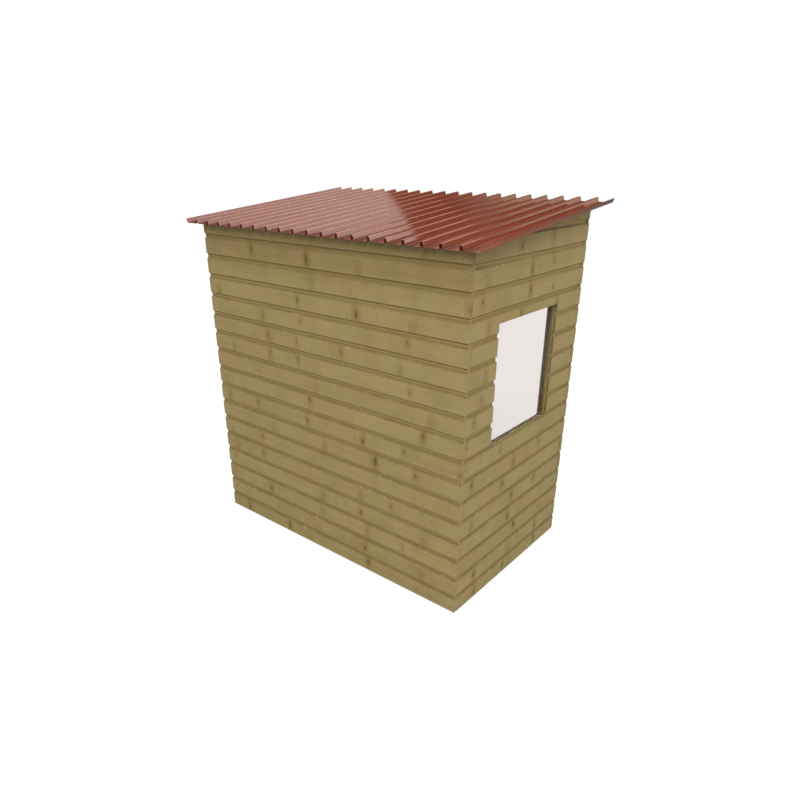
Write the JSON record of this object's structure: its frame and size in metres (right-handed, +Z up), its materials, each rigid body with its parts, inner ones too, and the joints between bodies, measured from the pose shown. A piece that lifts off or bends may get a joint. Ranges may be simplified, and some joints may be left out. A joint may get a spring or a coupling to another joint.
{
  "type": "garden shed",
  "caption": "Small timber garden shed with horizontal board cladding, a single-pitch ribbed steel roof, a fixed side window and an open doorway.",
  "frame": {"origin": "on the ground, under the middle of the whole outline, roof overhangs included", "axes": "+X along the long walls, towards the end wall with the window; +Y from the low back wall to the high front wall with the doorway; +Z up"},
  "size_m": [2.194, 1.4206, 2.1586],
  "materials": {
    "cladding": "green-brown pressure-treated pine boards",
    "framing": "planed pressure-treated pine",
    "glazing": "clear pane",
    "roofing": "satin red coated steel sheet"
  },
  "bodies": {
    "root": {"back_cladding": "cladding", "left_cladding": "cladding", "right_cladding_below": "cladding", "right_cladding_above": "cladding", "right_cladding_rear": "cladding", "right_cladding_front": "cladding", "front_cladding_left": "cladding", "front_cladding_right": "cladding", "front_cladding_over": "cladding", "back_sole_plate": "framing", "back_top_plate": "framing", "back_post_left": "framing", "back_post_right": "framing", "back_stud_left": "framing", "back_stud_right": "framing", "left_sole_plate": "framing", "left_top_rail": "framing", "left_stud_rear": "framing", "left_stud_middle": "framing", "left_stud_front": "framing", "right_sole_plate": "framing", "right_top_rail": "framing", "right_stud_rear": "framing", "right_stud_front": "framing", "window_stud_rear": "framing", "window_stud_front": "framing", "window_sill_rail": "framing", "window_head_rail": "framing", "window_pane": "glazing", "window_bead_top": "framing", "window_bead_bottom": "framing", "window_bead_rear": "framing", "window_bead_front": "framing", "front_sole_plate": "framing", "front_top_plate": "framing", "front_post_left": "framing", "front_post_right": "framing", "front_stud": "framing", "door_jamb_left": "framing", "door_jamb_right": "framing", "door_head": "framing", "middle_purlin": "framing", "roof_sheet_left": "roofing", "roof_sheet_right": "roofing"}
  },
  "joints": []
}
